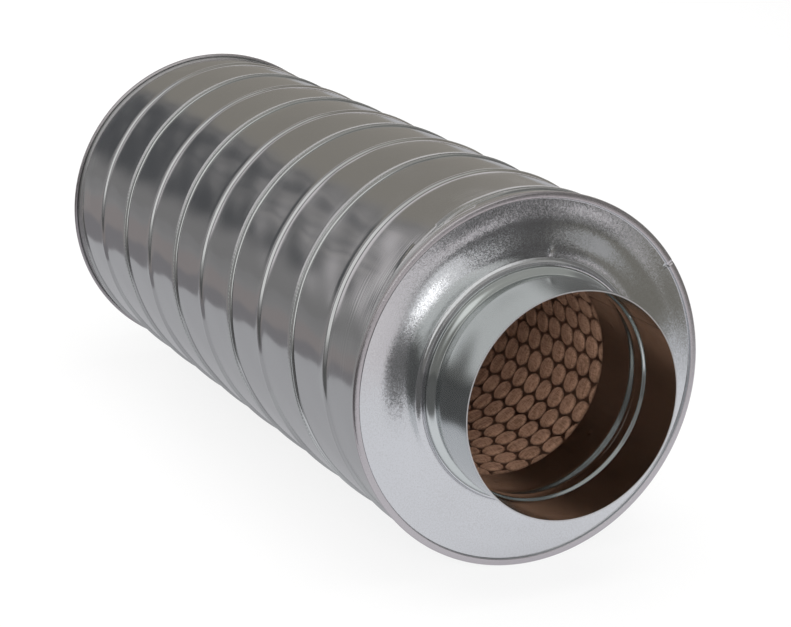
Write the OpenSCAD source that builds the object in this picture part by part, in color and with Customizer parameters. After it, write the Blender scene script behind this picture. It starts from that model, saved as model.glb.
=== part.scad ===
// Round duct sound attenuator for a 160 mm ventilation duct.
// The duct axis is +X with the front spigot at +X, +Z is up, and the origin is the middle of the body.

/* [Casing] */
// Length over the two folded rims
body_l = 600; // [300:10:1200]
// Diameter of the plain spiral tube
casing_d = 260; // [230:1:320]
// Thickness of the casing strip
casing_t = 0.8; // [0.6:0.1:1.2]
// Axial distance between one turn of the lock seam and the next
seam_lead = 118.5; // [90:0.5:160]
// Width of the lock seam along the axis
seam_w = 8; // [5:0.5:12]
// Height of the lock seam above the tube
seam_h = 1.5; // [0.6:0.1:2]
// Width of the lower fold along the front of the lock seam
seam_fold_w = 3; // [2:0.5:4]
// Height of the step between the two folds of the lock seam
seam_step = 0.5; // [0.1:0.05:0.5]
// Width of the stiffening rib halfway between two seams
rib_w = 9; // [6:0.5:14]
// Height of the stiffening rib above the tube
rib_h = 1.7; // [0.8:0.1:2.5]
// Angle about the axis, from +Y towards +Z, at which the lock seam crosses the middle of the body
seam_turn = 332; // [0:1:359]
// Height of the outward flange at each end of the tube
flange_h = 1.85; // [1.5:0.05:4]
// Length of the flare that leads into each flange
flare_l = 10; // [6:0.5:16]
// Length over which the seam and the rib fade out before each flare
fade_l = 8; // [4:0.5:20]

/* [End caps] */
// Thickness of the cap sheet
cap_t = 0.8; // [0.6:0.1:1.2]
// Radial length of the flat lip folded behind the flange
hem_lip = 0.7; // [0.2:0.1:1]
// Depth of the flat face behind the front of the folded rim
face_recess = 2; // [1:0.5:6]
// Height by which the face is dished forwards next to the collar
face_dish = 2.2; // [0.5:0.1:4]
// Radial width of the dished part of the face
dish_w = 27; // [10:1:30]
// Radius of the cove between the face and the collar
cove_r = 5; // [3:0.5:8]
// Length of the straight collar in front of the cove
collar_l = 0.5; // [0.5:0.5:10]

/* [Spigots] */
// Outside diameter of the spigot, which the duct slides over
spigot_d = 159.8; // [120:0.1:168]
// Thickness of the spigot sheet
spigot_t = 0.8; // [0.6:0.1:1.2]
// Length of the spigot in front of the folded rim
spigot_out = 60; // [40:1:100]
// Length of the spigot behind the front of the folded rim
spigot_in = 38; // [30:1:60]
// Height of the bead that fills the cap's collar
bead_h = 3; // [1.5:0.1:4]
// Length of the bead's flat crest
bead_crest = 2; // [1:0.5:6]
// Length of the bead's flank towards the stop groove
bead_flank = 6; // [3:0.5:8]
// Length of the bead's flank towards the liner
bead_tail = 8; // [3:0.5:10]
// Depth of the stop groove in front of the bead
groove_h = 2; // [0.8:0.1:2.5]
// Length of the stop groove's flat floor
groove_floor = 6.5; // [1:0.5:10]
// Length of the stop groove's flank towards the mouth
groove_flank = 3.5; // [2.5:0.5:12]
// Number of spot welds between the spigot and the liner
weld_n = 12; // [6:1:24]
// Distance of the spot welds behind the front of the folded rim
weld_inset = 20.5; // [16:0.5:26]
// Diameter of a spot weld's dimple
weld_d = 3; // [2:0.5:5]
// Depth of a spot weld's dimple
weld_h = 0.3; // [0.1:0.1:0.4]
// Angle about the axis of the spigot's lengthwise weld
joint_turn = 34; // [0:1:359]
// Width of the lengthwise weld's groove on the inside
joint_w = 1; // [0.5:0.1:2]
// Depth of the lengthwise weld's groove
joint_h = 0.2; // [0.1:0.05:0.4]

/* [Perforated liner] */
// Thickness of the perforated sheet
liner_t = 0.8; // [0.6:0.1:1.2]
// Distance of the liner's ends behind the front of the folded rims
liner_inset = 12; // [10:1:20]
// Number of hole rows around the liner
hole_rows = 32; // [28:2:36]
// Diameter of a hole
hole_d = 15.4; // [8:0.2:15.4]
// Least distance between a hole's edge and the liner's end
hole_margin = 4; // [2:0.5:20]
// Angle about the axis of the first hole row
row_turn = 325.9; // [0:0.1:359]
// Place along the axis of one hole of the first row, from the middle of the body
row_start = 236.3; // [-300:0.1:300]

/* [Packing] */
// Thickness of the fleece wrapped round the liner
fleece_t = 1.5; // [0.8:0.1:3]

/* [Fits] */
// Clearance between two pieces of sheet metal
fit_gap = 0.15; // [0.1:0.05:0.3]
// Clearance of the soft packing to what encloses it
soft_gap = 0.3; // [0.2:0.05:0.8]

/* [Hidden] */
steps_around = 72;
arc_steps = 6;
through = 4;
$fn = 96;

rim_x = body_l / 2;
fold_r = (casing_t + 2 * fit_gap + cap_t) / 2;
flange_x = rim_x - cap_t - fit_gap;
flange_back_x = flange_x - casing_t;
lip_x = rim_x - cap_t / 2 - 2 * fold_r;
casing_r = casing_d / 2;
casing_ri = casing_r - casing_t;
flange_r = casing_r + flange_h;
flare_x = flange_back_x - flare_l;
flare_r = flange_r - hem_lip - 2 * fit_gap;
step_r = casing_ri * cos(180 / steps_around) - fit_gap - cap_t / 2;
face_x = rim_x - face_recess - cap_t / 2;
collar_x = face_x + face_dish + cove_r + collar_l;

spigot_r = spigot_d / 2;
spigot_ri = spigot_r - spigot_t;
wall_r = spigot_r - spigot_t / 2;
bead_r = wall_r + bead_h;
groove_r = wall_r - groove_h;
collar_r = bead_r + spigot_t / 2 + fit_gap + cap_t / 2;

liner_l = body_l - 2 * liner_inset;
liner_flat = spigot_r + fit_gap;
liner_corner = (liner_flat + liner_t) / cos(180 / hole_rows);
row_w = 2 * liner_flat * tan(180 / hole_rows);
hole_pitch = row_w / cos(30);
hole_reach = liner_l / 2 - hole_margin - hole_d / 2;

fleece_ri = liner_corner + fit_gap;
fleece_r = fleece_ri + fleece_t;
wool_ri = fleece_r + soft_gap;
wool_r = casing_ri * cos(180 / steps_around) - soft_gap;
wool_end_x = face_x - cap_t / 2 - soft_gap;

function unit(v) = v / norm(v);
function left_of(v) = [-v[1], v[0]];
function reversed(list) = [for (i = [len(list) - 1:-1:0]) list[i]];

// Points of an arc about a centre, from one angle to another
function arc(centre, r, from, to) = [
    for (i = [0:arc_steps])
        let (a = from + (to - from) * i / arc_steps)
        centre + r * [cos(a), sin(a)]
];

// Points of a smooth S from one point to another, level at both ends, with its rise in the first coordinate
function s_curve(from, to) = [
    for (i = [0:arc_steps])
        let (t = i / arc_steps)
        [
            from[0] + (to[0] - from[0]) * (1 - cos(180 * t)) / 2,
            from[1] + (to[1] - from[1]) * t
        ]
];

// A path moved sideways to its left by a distance, with mitred corners
function beside(path, distance) = [
    for (i = [0:len(path) - 1])
        let (
            before = max(i, 1),
            after = min(i, len(path) - 2),
            a = left_of(unit(path[before] - path[before - 1])),
            b = left_of(unit(path[after + 1] - path[after]))
        )
        path[i] + distance * (a + b) / (1 + a * b)
];

// Section of a sheet of thickness t whose middle follows a path
module sheet_section(path, t) {
    polygon(concat(beside(path, t / 2), reversed(beside(path, -t / 2))));
}

// Turns a shape made about +Z so that +Z becomes +X and angles count from +Y towards +Z
module about_x() {
    rotate([90, 0, 90])
        children();
}

// A piece of the front end, or its mirror image at the rear end
module at_end(front) {
    if (front)
        children();
    else
        mirror([1, 0, 0])
            children();
}

// Lock seam and rib as [offset along the axis, height], over one lead, starting in the plain strip
seam_section = [
    [-seam_w / 2, 0],
    [-seam_w / 2 + seam_h / 2, seam_h],
    [seam_w / 2 - seam_fold_w - seam_step / 2, seam_h],
    [seam_w / 2 - seam_fold_w, seam_h - seam_step],
    [seam_w / 2 - (seam_h - seam_step) / 2, seam_h - seam_step],
    [seam_w / 2, 0]
];
rib_section = [
    for (i = [0:arc_steps])
        [seam_lead / 2 + rib_w * (i / arc_steps - 1 / 2), rib_h * pow(sin(180 * i / arc_steps), 2)]
];
strip_section = concat(seam_section, rib_section);
strip_n = len(strip_section);

// Ridge points along the tube at one angle, over enough turns to pass both ends at every angle
turns_each_way = ceil(flare_x / seam_lead) + 2;
ridge_n = strip_n * (2 * turns_each_way + 1);

function angle_at(i) = 360 * i / steps_around;
function ridge_x(i, m) =
    seam_lead * ((angle_at(i) - seam_turn) / 360 + floor(m / strip_n) - turns_each_way)
    + strip_section[m % strip_n][0];
function fade(x) = max(0, min(1, (flare_x - abs(x)) / fade_l));
function ridge_r(i, m) = casing_r + strip_section[m % strip_n][1] * fade(ridge_x(i, m));
function around(x, r, i) = [r * cos(angle_at(i)), r * sin(angle_at(i)), x];

// Flare and flange as [place along the axis, radius], from the tube's outside round to its inside
end_section = [
    [flare_x, casing_r],
    [flange_back_x, flare_r],
    [flange_back_x, flange_r],
    [flange_x, flange_r],
    [flange_x, flare_r - casing_t],
    [flare_x, casing_ri]
];
end_n = len(end_section);

// One section of the tube at step i: rear end, ridge points, front end
function casing_ring(i) = concat(
    [for (p = reversed(end_section)) around(-p[0], p[1], i)],
    [for (m = [0:ridge_n - 1]) around(ridge_x(i, m), ridge_r(i, m), i)],
    [for (p = end_section) around(p[0], p[1], i)]
);
rear_root = end_n - 1;
front_root = end_n + ridge_n;
ring_n = front_root + end_n;

// Number of a ridge point, or of the tube's end where the ridge has run past it
function ridge_point(i, m) =
    let (
        turned = i == steps_around,
        step = turned ? 0 : i,
        row = turned ? m + strip_n : m,
        x = ridge_x(step, row)
    )
    step * ring_n + (x <= -flare_x ? rear_root : x >= flare_x ? front_root : end_n + row);
function end_point(i, k) = (i % steps_around) * ring_n + k;

// Two triangles between two steps, left out where their points fall together
function patch(a, b, c, d) = concat(b == c ? [] : [[a, c, b]], a == d ? [] : [[a, d, c]]);

module outer_casing() {
    end_rows = [for (k = [0:end_n - 2]) each [k, front_root + k]];
    faces = [
        for (i = [0:steps_around - 1])
            each concat(
                [
                    for (m = [-1:ridge_n - 1])
                        each patch(
                            m < 0 ? end_point(i, rear_root) : ridge_point(i, m),
                            m < 0 ? end_point(i + 1, rear_root) : ridge_point(i + 1, m),
                            m == ridge_n - 1 ? end_point(i + 1, front_root) : ridge_point(i + 1, m + 1),
                            m == ridge_n - 1 ? end_point(i, front_root) : ridge_point(i, m + 1)
                        )
                ],
                [
                    for (k = end_rows)
                        each patch(
                            end_point(i, k), end_point(i + 1, k), end_point(i + 1, k + 1), end_point(i, k + 1)
                        )
                ],
                patch(
                    end_point(i, ring_n - 1), end_point(i + 1, ring_n - 1), end_point(i + 1, 0), end_point(i, 0)
                )
            )
    ];
    color("silver")
        about_x()
            polyhedron([for (i = [0:steps_around - 1]) each casing_ring(i)], faces);
}

// Pressed disc: collar, cove, dished face, step into the tube, and rim folded over the flange
module end_cap(front) {
    dish_r = collar_r + cove_r + dish_w;
    path = concat(
        [[collar_r, collar_x]],
        arc([collar_r + cove_r, face_x + face_dish + cove_r], cove_r, 180, 270),
        s_curve_radial(collar_r + cove_r, dish_r),
        [[step_r, face_x], [step_r, rim_x - cap_t / 2]],
        arc([flange_r, lip_x + fold_r], fold_r, 90, -90),
        [[flange_r - hem_lip, lip_x]]
    );
    color("gainsboro")
        at_end(front)
            about_x()
                rotate_extrude()
                    sheet_section(path, cap_t);
}

// Dished part of the face, from the cove out to the flat ring
function s_curve_radial(from_r, to_r) = [
    for (i = [1:arc_steps])
        let (t = i / arc_steps)
        [from_r + (to_r - from_r) * t, face_x + face_dish * (1 + cos(180 * t)) / 2]
];

// Rolled collar: barrel, stop groove, bead inside the cap's collar, and inner end inside the liner
module spigot(front) {
    bead_back_x = collar_x - bead_crest;
    bead_end_x = bead_back_x - bead_tail;
    groove_x = collar_x + bead_flank;
    groove_front_x = groove_x + groove_floor;
    barrel_x = groove_front_x + groove_flank;
    path = concat(
        [[wall_r, rim_x + spigot_out]],
        s_curve([wall_r, barrel_x], [groove_r, groove_front_x]),
        s_curve([groove_r, groove_x], [bead_r, collar_x]),
        s_curve([bead_r, bead_back_x], [wall_r, bead_end_x]),
        [[wall_r, rim_x - spigot_in]]
    );
    color("silver")
        at_end(front)
            difference() {
                about_x()
                    rotate_extrude()
                        sheet_section(path, spigot_t);
                spot_weld_dimples();
                lengthwise_weld(barrel_x + through, rim_x + spigot_out + through);
                lengthwise_weld(rim_x - spigot_in - through, bead_end_x - through);
            }
}

// Shallow dimples on the inside where the spigot is welded to the liner
module spot_weld_dimples() {
    ball_r = (weld_d * weld_d / 4 + weld_h * weld_h) / (2 * weld_h);
    for (i = [0:weld_n - 1])
        rotate([joint_turn + 360 * (i + 1 / 2) / weld_n, 0, 0])
            translate([rim_x - weld_inset, spigot_ri + weld_h - ball_r, 0])
                sphere(ball_r);
}

// Groove of the lengthwise weld along a straight part of the spigot's inside
module lengthwise_weld(from_x, to_x) {
    rotate([joint_turn, 0, 0])
        translate([from_x, spigot_ri - through, -joint_w / 2])
            cube([to_x - from_x, through + joint_h, joint_w]);
}

module front_end_cap() {
    end_cap(true);
}

module rear_end_cap() {
    end_cap(false);
}

module front_spigot() {
    spigot(true);
}

module rear_spigot() {
    spigot(false);
}

// Perforated tube with one narrow flat for each row of holes, alternate rows half a pitch on
module perforated_liner() {
    half_row = 180 / hole_rows;
    color("dimgray")
        difference() {
            translate([-liner_l / 2, 0, 0])
                about_x()
                    linear_extrude(liner_l)
                        difference() {
                            row_polygon(liner_corner);
                            row_polygon(liner_flat / cos(half_row));
                        }
            for (row = [0:hole_rows - 1])
                rotate([row_turn + 2 * half_row * row, 0, 0])
                    for (x = hole_places(row_start + hole_pitch * (row % 2) / 2))
                        translate([x, liner_flat - through, 0])
                            rotate([-90, 0, 0])
                                cylinder(h = liner_t + 2 * through, d = hole_d);
        }
}

// Places along the axis of one row's holes, counted from one of them
function hole_places(start) = [
    for (k = [ceil((-hole_reach - start) / hole_pitch):floor((hole_reach - start) / hole_pitch)])
        start + k * hole_pitch
];

// Regular polygon with a flat for each row of holes
module row_polygon(corner_r) {
    polygon([
        for (k = [0:hole_rows - 1])
            let (a = row_turn + 360 * (k + 1 / 2) / hole_rows)
            corner_r * [cos(a), sin(a)]
    ]);
}

// Round sleeve about the axis between two radii and two ends
module sleeve(r_in, r_out, half_l) {
    about_x()
        rotate_extrude()
            translate([r_in, -half_l])
                square([r_out - r_in, 2 * half_l]);
}

module fleece_wrap() {
    color("sienna")
        sleeve(fleece_ri, fleece_r, liner_l / 2);
}

module mineral_wool_packing() {
    color("khaki")
        sleeve(wool_ri, wool_r, wool_end_x);
}

outer_casing();
front_end_cap();
rear_end_cap();
front_spigot();
rear_spigot();
perforated_liner();
fleece_wrap();
mineral_wool_packing();
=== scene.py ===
"""Dresses the solids of a round duct sound attenuator, and sets them on a studio floor.

Lengths are in metres. The duct axis is +X, and angles about it count from +Y towards +Z.
"""
import math

import bpy
import numpy as np
from bpy.props import FloatProperty, FloatVectorProperty, IntProperty, PointerProperty
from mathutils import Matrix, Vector


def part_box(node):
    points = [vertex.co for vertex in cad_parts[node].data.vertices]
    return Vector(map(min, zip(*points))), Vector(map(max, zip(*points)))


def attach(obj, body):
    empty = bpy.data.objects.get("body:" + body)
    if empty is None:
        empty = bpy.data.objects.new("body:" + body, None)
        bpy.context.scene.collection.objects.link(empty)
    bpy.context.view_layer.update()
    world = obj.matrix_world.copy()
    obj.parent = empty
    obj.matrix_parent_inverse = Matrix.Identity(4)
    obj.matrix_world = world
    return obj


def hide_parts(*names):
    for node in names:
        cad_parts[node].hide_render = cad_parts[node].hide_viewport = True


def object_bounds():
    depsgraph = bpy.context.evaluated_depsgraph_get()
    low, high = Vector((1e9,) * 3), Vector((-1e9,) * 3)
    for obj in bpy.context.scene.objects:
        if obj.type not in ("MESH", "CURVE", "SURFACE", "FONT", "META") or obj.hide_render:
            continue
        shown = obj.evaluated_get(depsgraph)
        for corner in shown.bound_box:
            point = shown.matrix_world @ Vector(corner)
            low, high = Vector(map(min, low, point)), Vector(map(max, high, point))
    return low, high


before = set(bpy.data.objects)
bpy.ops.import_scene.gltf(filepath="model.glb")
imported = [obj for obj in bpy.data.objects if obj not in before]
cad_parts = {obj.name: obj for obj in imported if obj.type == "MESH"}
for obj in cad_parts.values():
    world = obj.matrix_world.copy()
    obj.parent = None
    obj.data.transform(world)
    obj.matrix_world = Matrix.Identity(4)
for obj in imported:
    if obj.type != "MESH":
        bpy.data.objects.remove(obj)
CAD_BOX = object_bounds()

bl_info = {
    "name": "Duct sound attenuator",
    "version": (1, 0, 0),
    "blender": (4, 5, 0),
    "location": "View3D > Sidebar > Attenuator",
    "description": "Dresses the solids of a duct sound attenuator and sets up its stage",
    "category": "Object",
}

BODY = "root"
FULL_TURN = 2 * math.pi
# Faces that meet at more than this angle have a sharp edge between them
SHARP_TURN = math.radians(42)
WHITE = (1.0, 1.0, 1.0)
CASING_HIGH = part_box("outer_casing")[1]
CAP_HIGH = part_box("front_end_cap")[1]
SPIGOT_LOW, SPIGOT_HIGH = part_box("front_spigot")
FLEECE_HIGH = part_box("fleece_wrap")[1]


def length(name, description, default):
    """A length that a user may change."""
    return FloatProperty(name=name, description=description, default=default, unit="LENGTH", precision=5)


def turn(name, description, degrees):
    """An angle about the duct axis that a user may change."""
    return FloatProperty(name=name, description=description, default=math.radians(degrees), subtype="ANGLE")


def colour(name, description, default):
    """A linear colour that a user may change."""
    return FloatVectorProperty(
        name=name, description=description, default=default, subtype="COLOR", size=3, min=0, max=1
    )


def place(name, description, default):
    """A point that a user may change."""
    return FloatVectorProperty(name=name, description=description, default=default, subtype="TRANSLATION")


def number(name, description, default):
    """A plain number that a user may change."""
    return FloatProperty(name=name, description=description, default=default)


class CasingSizes(bpy.types.PropertyGroup):
    """Spiral tube with its lock seam, its rib and its end flanges."""

    flange_x: length("Flange face", "Distance of each flange's face from the middle", CASING_HIGH.x)
    flange_r: length("Flange radius", "Radius of the flange's edge", 0.13185)
    tube_r: length("Tube radius", "Outer radius of the plain strip", 0.130)
    sheet_t: length("Strip thickness", "Thickness of the strip", 0.0008)
    lead: length("Lead", "Axial distance between one turn of the seam and the next", 0.1185)
    seam_turn: turn("Seam turn", "Angle at which the seam crosses the middle of the body", 332)
    seam_w: length("Seam width", "Width of the lock seam along the axis", 0.008)
    seam_h: length("Seam height", "Height of the lock seam above the strip", 0.0015)
    seam_fold_w: length("Fold width", "Width of the lower fold along the front of the lock seam", 0.003)
    seam_step: length("Fold step", "Height of the step between the two folds of the lock seam", 0.0005)
    rib_w: length("Rib width", "Width of the rib halfway between two seams", 0.009)
    rib_h: length("Rib height", "Height of the rib above the strip", 0.0017)
    fade_l: length("Fade length", "Length over which seam and rib run out before a flare", 0.008)
    flare_l: length("Flare length", "Length of the flare that leads into a flange", 0.010)
    flare_r: length("Flare radius", "Outer radius at the end of the flare", 0.13085)
    seam_teeth: IntProperty(name="Seam teeth", description="Serrations once round the seam", default=300)
    lines_from: length("Lines begin", "Distance from a flange at which rolling lines begin to spread", 0.07)
    lines_to: length("Lines spread", "Distance from a flange at which rolling lines cover the strip", 0.02)
    bow_h: length("Strip bow", "Height by which the strip bows between seam and rib", 0.00003)
    wave_h: length("Waviness", "Height of the rolled strip's waviness", 0.00011)


class CapSizes(bpy.types.PropertyGroup):
    """Pressed end cap with its folded rim and its collar."""

    rim_x: length("Rim face", "Distance of the folded rim's front from the middle", 0.300)
    sheet_t: length("Sheet thickness", "Thickness of the cap sheet", 0.0008)
    fold_r: length("Fold radius", "Radius of the fold about the flange, to the middle of the sheet", 0.00095)
    fold_at_r: length("Fold place", "Radius at which the fold turns, which is the flange's edge", 0.13185)
    hem_lip: length("Hem lip", "Radial length of the lip behind the flange", 0.0007)
    step_r: length("Step radius", "Radius of the step into the tube, to the middle of the sheet", 0.12853)
    step_bend: length("Step bend", "Radius of the bends at the step", 0.0006)
    face_recess: length("Face recess", "Depth of the face behind the rim's front", 0.002)
    face_dish: length("Dish height", "Height by which the face rises towards the collar", 0.0022)
    dish_w: length("Dish width", "Radial width of the dished part", 0.027)
    cove_r: length("Cove radius", "Radius of the cove between face and collar", 0.005)
    collar_x: length("Collar edge", "Distance of the collar's edge from the middle", CAP_HIGH.x)
    collar_r: length("Collar radius", "Radius of the collar, to the middle of the sheet", 0.08345)
    wave_h: length("Face waviness", "Height of the face's waviness", 0.00012)
    wave_in: length("Waviness start", "Width outwards of the cove over which the waviness grows", 0.010)
    wave_out: length("Waviness end", "Width over which the waviness fades before the plain ring", 0.008)
    plain_w: length("Plain ring", "Width of the even ring inside the step", 0.002)
    nick_turn: turn("Nick", "Angle of the nick across the front rim", 33.3)
    nick_w: length("Nick width", "Width of the nick along the rim", 0.0022)
    nick_h: length("Nick depth", "Depth of the nick", 0.0006)
    nick_in: length("Nick start", "Distance inwards of the step at which the nick begins", 0.001)
    crease_turn: turn("Crease", "Angle of the crease at the foot of the front collar", 81.7)
    crease_r: length("Crease place", "Radius of the crease's middle", 0.0915)
    crease_w: length("Crease width", "Width of the crease round the collar", 0.004)
    crease_l: length("Crease length", "Length of the crease along the radius", 0.005)
    crease_h: length("Crease height", "Height of the crease", 0.00025)


class SpigotSizes(bpy.types.PropertyGroup):
    """Rolled collar that the duct is pushed on."""

    mouth_x: length("Mouth", "Distance of the mouth from the middle", SPIGOT_HIGH.x)
    inner_x: length("Inner end", "Distance of the inner end from the middle", SPIGOT_LOW.x)
    wall_r: length("Wall radius", "Radius of the plain wall, to the middle of the sheet", 0.0795)
    sheet_t: length("Sheet thickness", "Thickness of the spigot sheet", 0.0008)
    bead_h: length("Bead height", "Height of the bead inside the cap's collar", 0.003)
    bead_crest: length("Bead crest", "Length of the bead's crest", 0.002)
    bead_flank: length("Bead flank", "Length of the bead's flank towards the stop groove", 0.006)
    bead_tail: length("Bead tail", "Length of the bead's flank towards the liner", 0.008)
    groove_h: length("Groove depth", "Depth of the stop groove", 0.002)
    groove_floor: length("Groove floor", "Length of the stop groove's flat floor", 0.0065)
    groove_flank: length("Groove flank", "Length of the groove's flank towards the mouth", 0.0035)
    weld_n: IntProperty(name="Spot welds", description="Spot welds round the inner end", default=12)
    weld_x: length("Spot weld place", "Distance of the spot welds from the middle", 0.2795)
    weld_d: length("Spot weld width", "Diameter of a spot weld's dimple", 0.003)
    weld_h: length("Spot weld depth", "Depth of a spot weld's dimple", 0.0003)
    joint_turn: turn("Lengthwise weld", "Angle of the lengthwise weld", 34)
    joint_w: length("Weld width", "Width of the lengthwise weld's groove", 0.001)
    joint_h: length("Weld depth", "Depth of the lengthwise weld's groove", 0.0002)
    wave_h: length("Out of round", "Height of the wall's waviness", 0.00010)
    wave_l: length("Waviness start", "Length past the groove over which the waviness grows", 0.02)


class PackingSizes(bpy.types.PropertyGroup):
    """Fleece sleeve that shows through the holes of the liner."""

    half_l: length("Half length", "Half the length of the sleeve", FLEECE_HIGH.x)
    outer_r: length("Outer radius", "Outer radius of the sleeve", FLEECE_HIGH.z)
    inner_r: length("Inner radius", "Radius of the sleeve where it lies on the liner", 0.08139)
    pad_d: length("Pad width", "Width of the fleece's swelling in front of a hole", 0.0172)
    pad_h: length("Pad height", "Height of the swelling above its widest ring", 0.0027)
    pad_r: length("Pad place", "Radius of the swelling's widest ring", 0.0799)
    # Painted shade on the pads' fibres: it begins at the crown radius and is fullest at the foot radius.
    shade_full_r: length("Pad foot", "Radius at which the fibres of a pad are darkest", 0.0800)
    shade_from_r: length("Pad crown", "Radius at which the fibres of a pad are lightest", 0.0785)
    pad_clear: length("Pad clearance", "Clearance of a pad under a spigot", 0.00012)
    pad_sunk: length("Pad root", "Depth of a pad's root in the sleeve", 0.0002)
    pad_press_l: length("Pad press", "Length before a spigot over which a pad is pressed down", 0.005)
    hole_d: length("Hole diameter", "Diameter of a hole of the liner", 0.0154)
    hole_margin: length("Hole margin", "Least distance of a hole from the liner's end", 0.004)
    hole_pitch: length("Hole pitch", "Distance between two holes of a row", 0.018206)
    hole_rows: IntProperty(name="Hole rows", description="Number of hole rows around the liner", default=32)
    row_turn: turn("Row turn", "Angle of the first row of holes", 325.9)
    row_start: length("Row start", "Place along the axis of one hole of the first row", 0.2363)


class FinishColours(bpy.types.PropertyGroup):
    """Colours of the sheet metal, the fleece and the wool."""

    casing_zinc: colour("Casing zinc", "Bright rolled zinc of the casing", (0.53, 0.53, 0.535))
    seam_zinc: colour("Seam zinc", "Rubbed zinc along the lock seam", (0.64, 0.66, 0.65))
    cap_zinc: colour("Cap zinc", "Matt zinc of the end caps", (0.655, 0.66, 0.68))
    cap_tarnish: colour("Cap tarnish", "Duller grains on the end caps", (0.60, 0.60, 0.61))
    hem_zinc: colour("Hem zinc", "Folded rim of the end caps", (0.52, 0.49, 0.505))
    spigot_zinc: colour("Spigot zinc", "Slightly green zinc of the spigots", (0.56, 0.60, 0.58))
    raw_edge: colour("Raw edge", "Cut edge of a sheet", (0.58, 0.57, 0.57))
    # Painted shade and a painted reflection of the brown fleece: the liner's zinc is darkened and browned.
    liner_zinc_and_shade: colour("Liner zinc", "Dull zinc of the perforated liner", (0.29, 0.20, 0.15))
    fleece_dark: colour("Fleece, dark", "Darker fibres of the fleece", (0.20, 0.112, 0.072))
    fleece_light: colour("Fleece, light", "Lighter fibres of the fleece", (0.41, 0.240, 0.163))
    wool_dark: colour("Wool, dark", "Darker fibres of the mineral wool", (0.32, 0.25, 0.10))
    wool_light: colour("Wool, light", "Lighter fibres of the mineral wool", (0.62, 0.54, 0.28))


class RoomColours(bpy.types.PropertyGroup):
    """Colours of the studio room, which the metal mirrors."""

    wall: colour("Wall", "Wall on the near side", (0.265, 0.26, 0.262))
    warm_wall: colour("Warm wall", "Wall behind the object", (0.31, 0.291, 0.262))
    front_wall: colour("Front wall", "Wall in front of the object", (0.21, 0.208, 0.20))
    ceiling: colour("Ceiling", "Ceiling in front of the object", (0.40, 0.40, 0.385))
    swirl_dark: colour("Dark swirls", "Darker swirls on the wall", (0.16, 0.16, 0.165))
    swirl_light: colour("Light swirls", "Lighter swirls on the wall", (0.335, 0.322, 0.318))
    opening: colour("Opening", "Dark opening in the wall", (0.10, 0.103, 0.11))
    lintel: colour("Lintel", "Pale lintel over the wall", (0.88, 0.84, 0.86))
    arch_far: colour("Arch, far side", "Arch of light on the far side", (0.68, 0.68, 0.66))
    arch_near: colour("Arch, near side", "Arch of light on the near side", (1.0, 1.0, 0.99))
    window: colour("Window", "Wide window behind the camera", (0.98, 0.985, 0.97))


class FloorColours(bpy.types.PropertyGroup):
    """Colours of the floor, of which all but the first are only seen in reflections."""

    paper: colour("Paper", "The floor's own colour", (0.86, 0.86, 0.86))
    # Painted shadow: the object's shadow on the paper, painted into the paper that reflections show beside
    # it.
    paper_in_painted_shadow: colour("Paper beside", "Paper beside the object", (0.475, 0.475, 0.495))
    paper_front: colour("Paper in front", "Paper in front of the object", (0.84, 0.85, 0.88))
    side_near: colour("Side ground", "Ground past the side edge", (0.23, 0.22, 0.235))
    side_middle: colour("Side ground, middle", "The same ground further out", (0.31, 0.28, 0.28))
    side_far: colour("Side ground, far", "The same ground furthest out", (0.29, 0.285, 0.29))
    ground_pale: colour("Front ground", "Ground past the front edge", (0.80, 0.77, 0.785))
    ground_dark: colour("Front ground, far", "The same ground further out", (0.055, 0.054, 0.054))
    olive_pale: colour("Far ground", "Ground past the front edge on the far side", (0.56, 0.58, 0.60))
    olive: colour("Far ground, far", "The same ground further out", (0.19, 0.182, 0.155))
    sheen: colour("Sheen", "Pale strip across the front ground", (0.48, 0.48, 0.48))
    fan: colour("Fan", "Pale fan far out on the far side", (0.56, 0.57, 0.58))
    corner: colour("Corner", "Ground past the corner on the near side", (0.10, 0.10, 0.10))
    patch: colour("Patch", "Bright patch past the corner", (0.88, 0.89, 0.90))


class StageSettings(bpy.types.PropertyGroup):
    """Camera, floor and studio light."""

    camera_at: place("Camera", "Place of the camera", (1.63677, -0.73329, 0.48819))
    camera_to: place("Target", "Point in the middle of the picture", (0.07293, 0.00489, -0.01113))
    camera_lens: number("Lens", "Focal length in millimetres on a 36 mm frame", 106.25)
    floor_half: length("Floor", "Half the width of the floor", 30.0)
    floor_white: number("Floor white", "Share of plain white in the floor that is seen", 0.85)


class AttenuatorSettings(bpy.types.PropertyGroup):
    """Everything that can be set."""

    casing: PointerProperty(type=CasingSizes)
    cap: PointerProperty(type=CapSizes)
    spigot: PointerProperty(type=SpigotSizes)
    packing: PointerProperty(type=PackingSizes)
    colours: PointerProperty(type=FinishColours)
    room: PointerProperty(type=RoomColours)
    floor: PointerProperty(type=FloorColours)
    stage: PointerProperty(type=StageSettings)


class Value:
    """One socket of a node tree. Arithmetic on it adds Math nodes to the tree."""

    def __init__(self, nodes, socket):
        self.nodes = nodes
        self.socket = socket

    def other(self, output):
        """Another output of the same node."""
        return Value(self.nodes, self.socket.node.outputs[output])

    def __add__(self, other):
        return self.nodes.math("ADD", self, other)

    def __radd__(self, other):
        return self.nodes.math("ADD", other, self)

    def __sub__(self, other):
        return self.nodes.math("SUBTRACT", self, other)

    def __rsub__(self, other):
        return self.nodes.math("SUBTRACT", other, self)

    def __mul__(self, other):
        return self.nodes.math("MULTIPLY", self, other)

    def __rmul__(self, other):
        return self.nodes.math("MULTIPLY", other, self)

    def __truediv__(self, other):
        return self.nodes.math("DIVIDE", self, other)

    def __pow__(self, other):
        return self.nodes.math("POWER", self, other)

    def __abs__(self):
        return self.nodes.math("ABSOLUTE", self)


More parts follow.
